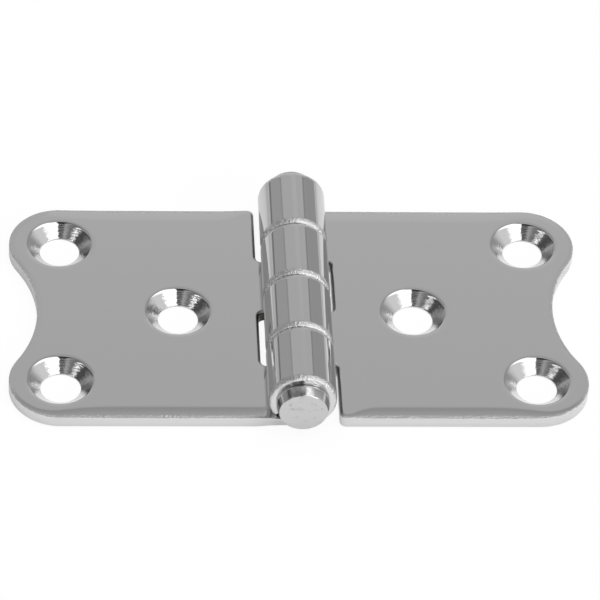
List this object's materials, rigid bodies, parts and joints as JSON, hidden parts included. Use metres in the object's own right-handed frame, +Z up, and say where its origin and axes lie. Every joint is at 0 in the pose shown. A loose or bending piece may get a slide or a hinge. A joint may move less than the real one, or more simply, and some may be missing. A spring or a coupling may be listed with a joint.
{
  "type": "leaf hinge",
  "caption": "Polished stainless butterfly hinge with lobed leaves, countersunk screw holes, rolled knuckles and a headed pin.",
  "frame": {"origin": "on the mounting surface, under the middle of the pin, with the hinge open flat", "axes": "+X across the open hinge towards the right leaf, +Y along the pin, +Z up from the mounting surface"},
  "size_m": [0.0876, 0.0494, 0.0103],
  "materials": {
    "polished_sheet": "mirror-polished stainless sheet",
    "polished_pin": "polished stainless rod with a bright pressed head"
  },
  "bodies": {
    "left": {"left_leaf": "polished_sheet", "hinge_pin": "polished_pin"},
    "right": {"right_leaf": "polished_sheet"}
  },
  "joints": [
    {"name": "leaf_swing", "type": "hinge", "parent": "left", "child": "right", "pos_m": [0, 0, 0.00516], "axis": [0, -1, 0], "range_deg": [-90, 180]}
  ]
}
